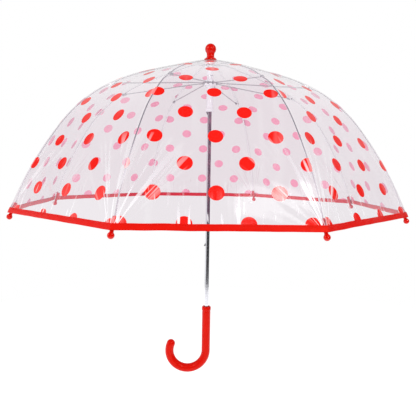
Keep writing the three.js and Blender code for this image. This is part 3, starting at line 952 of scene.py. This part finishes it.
def runnerBody():
    z, bore = runnerHinge.y, 4.5
    low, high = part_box("runner")
    bottom, top = (low.z - z) / mm, (high.z - z) / mm
    rings = scaled([(bottom, bore), (bottom, 7.1), (bottom + 0.4, 7.7), (bottom + 1, 8), (bottom + 5, 8),
                    (bottom + 5.6, 7.8), (bottom + 7.6, 6.7), (bottom + 8.6, 6.5), (-12, 6.5), (-5.6, 7.0),
                    (-5, 7.6), (-5, 11.2), (-4.6, 11.8), (-4, 12), (4, 12), (4.4, 11.8), (4.6, 11.2),
                    (4.6, 5.9), (top - 0.4, 5.9), (top, 5.5), (top, bore)], z)
    return turnedPiece("runnerSleeve", rings, 64, "runner", "white_plastic", whitePlastic, "runner",
                       collarCutters(z, 2.8 * mm, 3 * mm, 6 * mm))


def pivotRing(name, place, body, node):
    turns, sides, radius = 64, 12, 0.6 * mm

    def frameAt(angle):
        outward = Vector((math.cos(angle), math.sin(angle), 0))
        return outward * place.x + Vector((0, 0, place.y)), outward, Vector((0, 0, 1))

    rings = [(2 * math.pi * i / turns, radius) for i in range(turns)]
    verts, faces = ringBody(frameAt, rings, sides, closed=True)
    faces = [tuple(reversed(face)) for face in faces]
    return meshPiece(name, verts, faces, body, "rib_wire", springSteel, node)


catch = {"ledgeDepth": 2 * mm, "slotHalf": 1.5 * mm, "slotRun": (1 * mm, 15 * mm), "bevel": 0.15 * mm,
         # side outline of the leaf and its wedge, mm, with 0 at the ledge that holds the runner
         "outline": [(-6.6, 0), (-6.6, -0.5), (-6.3, -1.2), (-5.2, -3.4), (-2.6, -7.6), (-2.4, -8.4),
                     (-2.4, -18), (-1, -18), (-1, 2), (-2.8, 2), (-2.8, 0)]}


def catchLedge(node, up):
    low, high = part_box(node)
    return high.z - catch["ledgeDepth"] if up > 0 else low.z + catch["ledgeDepth"]


def shaftTube():
    outer, inner = shaftSize["radius"], shaftSize["radius"] - shaftSize["wall"]
    bottom, top = shaftSize["bottom"], shaftSize["top"]
    steps = 24
    rings = [(bottom + (top - bottom) * i / steps, outer) for i in range(steps + 1)]
    rings = [(bottom, inner), *rings, (top, inner)]
    cutters = []
    for node, up in (("top_catch", 1), ("bottom_catch", -1)):
        # the slot runs from the wedge's ledge down its slope
        ledge, half = catchLedge(node, up), catch["slotHalf"]
        ends = sorted((ledge + up * catch["slotRun"][0], ledge - up * catch["slotRun"][1]))
        cutters.append(boxMesh((-6 * mm, -half, ends[0]), (-2 * mm, half, ends[1])))
    return turnedPiece("shaftTube", rings, 48, "frame", "chrome_tube", chrome, "shaft", cutters)


def catchSpring(name, node, up):
    ledge, half = catchLedge(node, up), 1 * mm
    bm = bmesh.new()
    face = bm.faces.new([bm.verts.new((x * mm, -half, ledge + up * z * mm)) for x, z in catch["outline"]])
    thicken(bm, [face], 2 * half)
    bmesh.ops.bevel(bm, geom=list(bm.edges), offset=catch["bevel"], segments=2, affect="EDGES", profile=0.5)
    return meshPiece(name, *takeMesh(bm), node, "spring_steel", springSteel, node)


def crownWasher():
    low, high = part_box("canopy_washer")
    thick = (high.z - low.z) / mm
    rings = scaled([(0, 4.3), (0, 11.6), (0.3, 12), (thick - 0.3, 12), (thick, 11.6), (thick, 4.3)], low.z)
    return turnedPiece("crownWasher", rings, 48, "frame", "red_plastic", redPlastic, "canopy_washer")


def finialBall():
    low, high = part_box("finial")
    base, ball = low.z, 10.4 * mm
    rings = scaled([(12, 4.3), (0, 4.3), (0, 11.0)], base)
    rings += arcRings((base + 1.5 * mm, 10.1 * mm), 1.6 * mm, -60, 55, 8)
    rings += scaled([(3.9, 9.6), (4.6, 8.2), (5.6, 7.4), (7.0, 7.05), (9.5, 6.95), (11.2, 7.2)], base)
    rings += arcRings((high.z - ball, 0), ball, -44, 89.5, 22)
    verts, faces = ringBody(upright, rings, 48)
    return meshPiece("finialBall", verts, faces, "frame", "red_plastic", tipPlastic, "finial", 60)


topNotch()
runnerBody()
pivotRing("notchRing", ribHinge, "frame", "notch_wire")
pivotRing("runnerRing", runnerHinge, "runner", "runner_wire")
shaftTube()
catchSpring("catchTop", "top_catch", 1)
catchSpring("catchBottom", "bottom_catch", -1)
crownWasher()
finialBall()
report("crown, runner, shaft and catches made")

hook = {"radius": 8.25 * mm, "bend": 36 * mm, "centreZ": -45 * mm, "sweep": 1.127 * math.pi, "top": 44 * mm,
        "gripStart": 10.5 * mm, "steps": 110}
hookStraight = hook["top"] - hook["centreZ"]
hookLength = hookStraight + hook["bend"] * hook["sweep"]


def hookFrame(distance):
    side, bend = Vector((0, 1, 0)), hook["bend"]
    if distance < hookStraight:
        return Vector((0, 0, hook["top"] - distance)), side, Vector((1, 0, 0))
    past = max(0.0, distance - hookLength)
    angle = (min(distance, hookLength) - hookStraight) / bend
    centre = Vector((bend * math.cos(angle) - bend, 0, hook["centreZ"] - bend * math.sin(angle)))
    way = Vector((-math.sin(angle), 0, -math.cos(angle)))
    return centre + way * past, side, way.cross(side)


def handleGrip():
    # bore, collar bead, then the straight and bent grip with a rounded end
    start, steps, radius = hook["gripStart"], hook["steps"], hook["radius"]
    rings = scaled([(52, 4.3), (1.6, 4.3), (0.4, 4.9), (-0.4, 6.2), (-0.4, 7.4), (0.2, 8.1), (1.4, 8.7),
                    (2.6, 8.9), (6.4, 8.9), (7.4, 8.6), (7.9, 8.1), (8.4, 8.0), (9.2, 8.2)])
    rings += [(start + (hookLength - start) * i / steps, radius) for i in range(steps)]
    rings += arcRings((hookLength, 0), radius, 0, 89, 12)
    verts, faces = ringBody(hookFrame, rings, 36)
    faces = [tuple(reversed(face)) for face in faces]
    return meshPiece("handleGrip", verts, faces, "frame", "red_plastic", redPlastic, "handle", 60)


handleGrip()
report("handle made")

studio = {"floorZ": -0.31, "floorRadius": 1.5, "floorGlow": 0.2, "centre": (0, 0, 0.26), "white": 1.0,
          "fill": 0.92, "dark": 0.04, "leftWall": (-0.8, -0.95, 0.6), "backWall": (0.3, 0.75, 0.55)}
shot = {"azimuth": -2.75, "distance": 0.9268, "height": 0.3236, "pitch": 5.22, "roll": 0.95, "lens": 41.56}
# softboxes: compass angle from the front, rise, distance, width, height, brightness, share of soft edge
softboxes = {
    "keyRight": (16, 34.6, 1.6, 0.66, 0.30, 3.3, 0.5),
    "frontLeft": (-29, 20, 1.5, 0.13, 0.16, 45, 0.1),
    "frontRight": (24, 20, 1.5, 0.13, 0.16, 45, 0.1),
    "sideLeft": (-62, 36, 1.7, 0.4, 0.9, 4, 0.4),
    "sideRight": (66, 38, 1.7, 0.3, 0.8, 4, 0.4),
    "lowLeft": (-96, -6, 1.3, 2.2, 0.75, 0.5, 0.1),
}


def makeFloor():
    sides, radius, z = 96, studio["floorRadius"], studio["floorZ"]
    verts = [(0, 0, z)]
    for k in range(sides):
        angle = 2 * math.pi * k / sides
        verts.append((radius * math.cos(angle), radius * math.sin(angle), z))
    floor = addMesh("floor", verts, [(0, 1 + k, 1 + (k + 1) % sides) for k in range(sides)])
    material, tree, shader = newMaterial("paleFloor")
    feedAll(tree, shader, {"Base Color": (0.9, 0.9, 0.9, 1), "Roughness": 0.9, "Specular IOR Level": 0.0,
                           "Emission Color": (1, 1, 1, 1), "Emission Strength": studio["floorGlow"]})
    floor.data.materials.append(material)


def mixNumber(tree, factor, a, b):
    node = put(tree, "Mix", data_type="FLOAT")
    for slot, value in ((0, factor), (2, a), (3, b)):
        feed(tree, node.inputs[slot], value)
    return node.outputs[0]


def makeWorld():
    # white behind the object and soft white fill; reflections see dark surroundings with a pale wall
    # on the left and behind
    world = bpy.data.worlds.new("studio")
    scene.world = world
    world.use_nodes = True
    tree = world.node_tree
    path = put(tree, "LightPath").outputs
    place = put(tree, "TexCoord").outputs["Generated"]
    split = put(tree, "SeparateXYZ", Vector=place).outputs
    leftWall = ramp(tree, split["X"], *studio["leftWall"])
    backWall = ramp(tree, split["Y"], *studio["backWall"])
    seen = maths(tree, "MAXIMUM", maths(tree, "MAXIMUM", leftWall, backWall), studio["dark"])
    level = mixNumber(tree, path["Is Glossy Ray"], studio["fill"], seen)
    strength = mixNumber(tree, path["Is Camera Ray"], level, studio["white"])
    feedAll(tree, tree.nodes["Background"], {"Color": (1, 1, 1, 1), "Strength": strength})
    if hasattr(world, "cycles"):
        world.cycles.sampling_method = "NONE"


def makeSoftbox(name, compass, rise, distance, width, height, brightness, softEdge):
    light = bpy.data.lights.new(name, "AREA")
    light.shape = "RECTANGLE"
    light.size, light.size_y = width, height
    light.energy = brightness * math.pi * width * height
    light.use_nodes = True
    tree = light.node_tree
    place = put(tree, "NewGeometry").outputs["Parametric"]
    split = put(tree, "SeparateXYZ", Vector=place).outputs
    glow = 1.0
    for key in ("X", "Y"):
        fromMiddle = maths(tree, "ABSOLUTE", maths(tree, "SUBTRACT", split[key], 0.5))
        glow = maths(tree, "MULTIPLY", glow, ramp(tree, fromMiddle, 0.5, 0.5 - softEdge / 2))
    feed(tree, tree.nodes["Emission"].inputs["Strength"], glow)
    lamp = addObject(name, light)
    compass, rise = math.radians(compass), math.radians(rise)
    way = Vector((math.sin(compass) * math.cos(rise), -math.cos(compass) * math.cos(rise), math.sin(rise)))
    lamp.location = Vector(studio["centre"]) + way * distance
    lamp.rotation_euler = way.to_track_quat("Z", "Y").to_euler()
    lamp.visible_camera = False


def makeCamera():
    data = bpy.data.cameras.new("camera")
    data.lens = shot["lens"]
    data.sensor_width = 36
    camera = addObject("camera", data)
    azimuth, pitch = math.radians(shot["azimuth"]), math.radians(shot["pitch"])
    aside, ahead = math.sin(azimuth), -math.cos(azimuth)
    place = Vector((aside * shot["distance"], ahead * shot["distance"], shot["height"]))
    back = Vector((aside * math.cos(pitch), ahead * math.cos(pitch), math.sin(pitch)))
    turn = (-back).to_track_quat("-Z", "Y").to_matrix() @ Matrix.Rotation(math.radians(shot["roll"]), 3, "Z")
    camera.matrix_world = Matrix.Translation(place) @ turn.to_4x4()
    scene.camera = camera


scene.view_settings.view_transform = "Standard"
makeFloor()
makeWorld()
for name, values in softboxes.items():
    makeSoftbox(name, *values)
makeCamera()
report("studio made")
